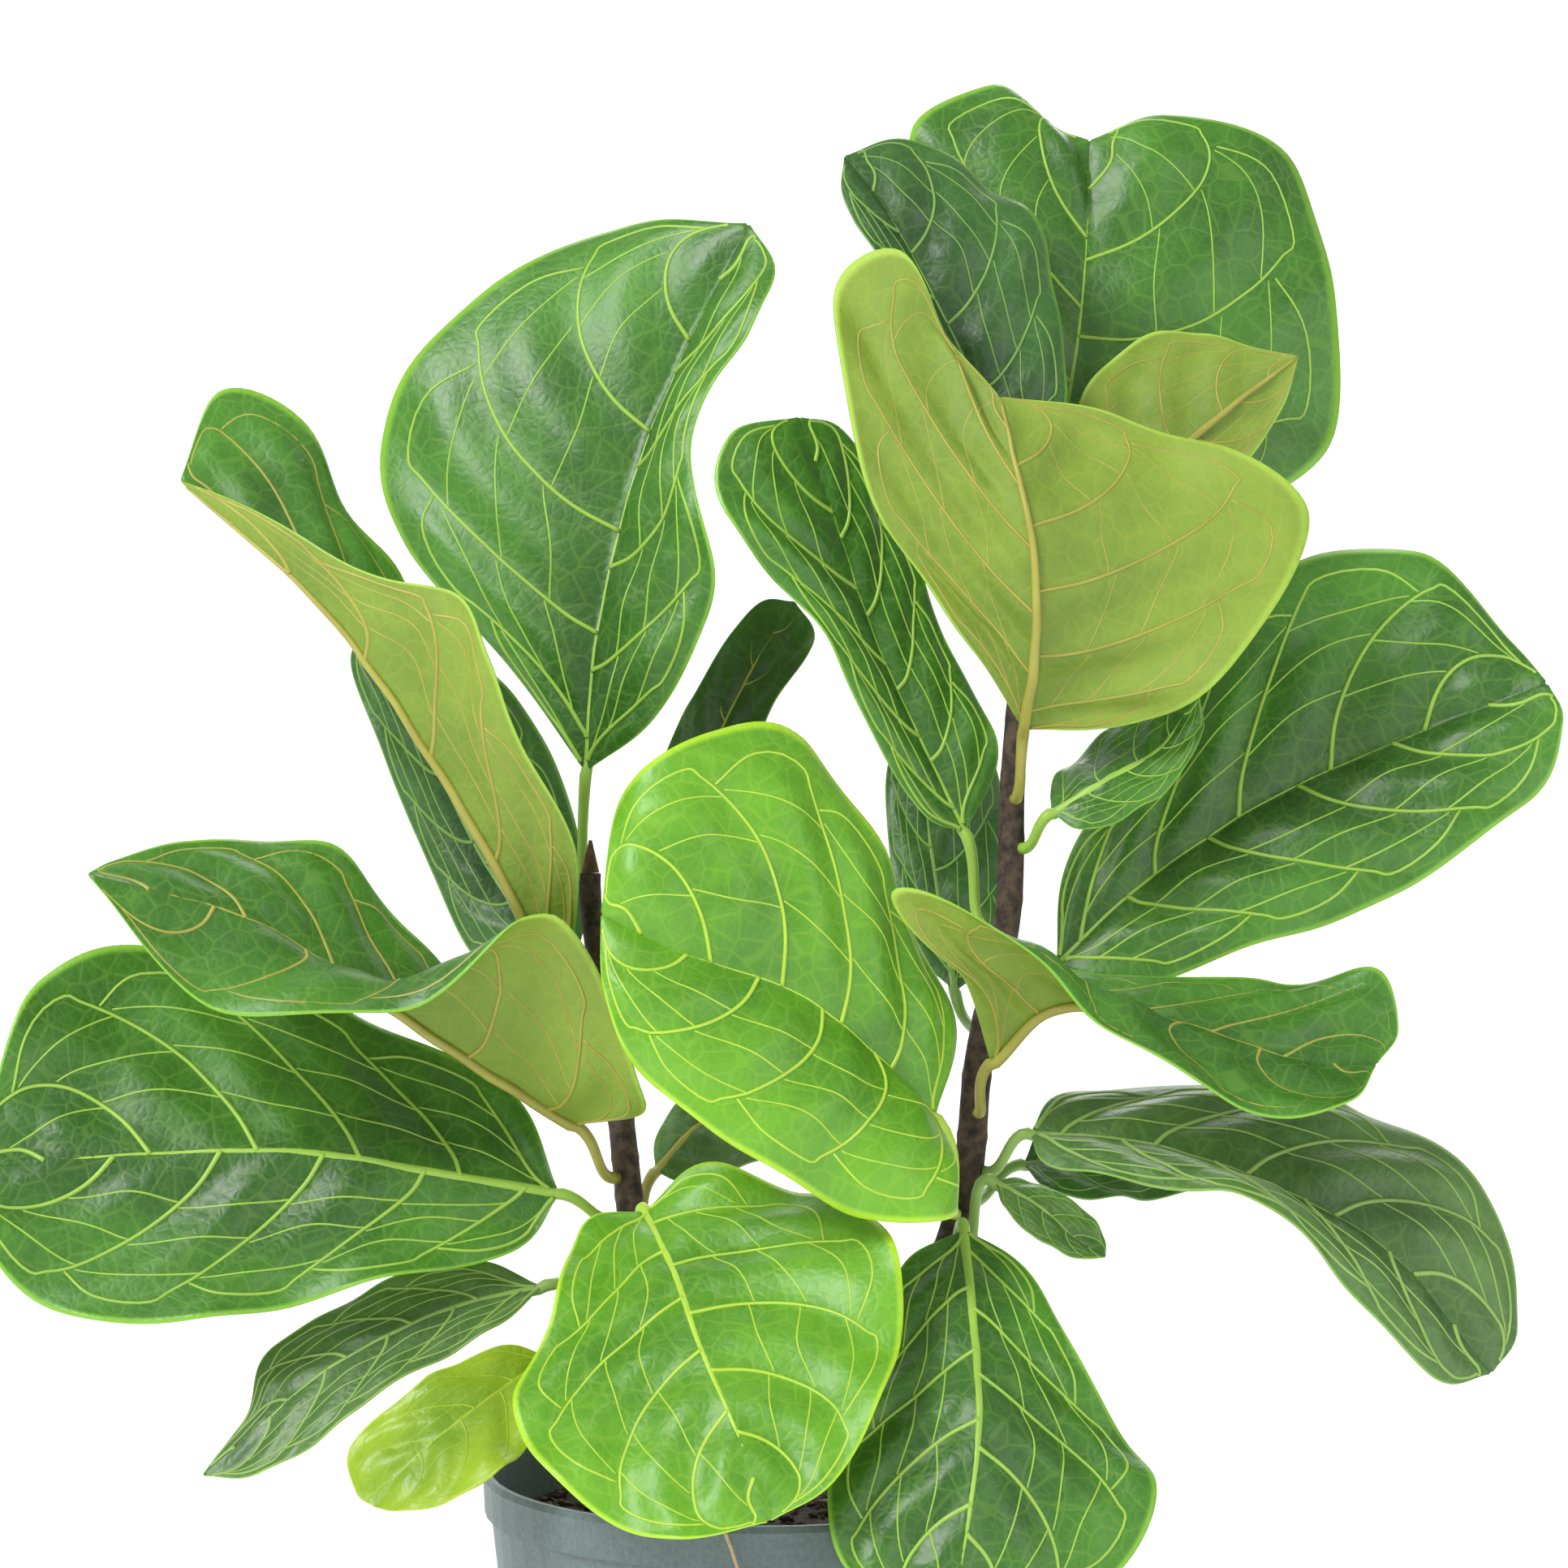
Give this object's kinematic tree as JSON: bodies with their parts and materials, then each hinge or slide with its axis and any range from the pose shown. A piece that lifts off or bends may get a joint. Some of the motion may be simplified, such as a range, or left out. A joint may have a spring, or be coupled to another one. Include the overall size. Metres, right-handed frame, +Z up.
{
  "type": "potted plant",
  "caption": "Fiddle leaf fig in a round nursery pot: two woody stems with large leathery leaves on short stalks.",
  "frame": {"origin": "middle of the pot's flat underside, on the plane it stands on", "axes": "+Z up along the pot's axis, -Y towards the front of the plant, +X to the right seen from the front"},
  "size_m": [0.7659, 0.3169, 0.9334],
  "materials": {
    "pot_plastic": "matte",
    "potting_mix": "matte",
    "bark": "matte",
    "leaf": "satin",
    "sheath": "matte",
    "straw": "matte"
  },
  "bodies": {
    "root": {"pot": "pot_plastic", "soil": "potting_mix", "stem_left": "bark", "stem_right": "bark", "bud_left": "sheath", "bud_right": "sheath", "dry_strand": "straw", "dry_leaf_bit": "straw", "leaf_a1": "leaf", "leaf_a2": "leaf", "leaf_a3": "leaf", "leaf_a4": "leaf", "leaf_a5": "leaf", "leaf_a6": "leaf", "leaf_a7": "leaf", "leaf_a8": "leaf", "leaf_a9": "leaf", "leaf_b1": "leaf", "leaf_b1_young": "leaf", "leaf_b2": "leaf", "leaf_b3": "leaf", "leaf_b4": "leaf", "leaf_b4_back": "leaf", "leaf_b5": "leaf", "leaf_b6": "leaf", "leaf_b7": "leaf", "leaf_b7_under": "leaf", "leaf_b8": "leaf", "leaf_b8_small": "leaf", "leaf_b9": "leaf", "leaf_b10": "leaf", "leaf_c1": "leaf"}
  },
  "joints": []
}
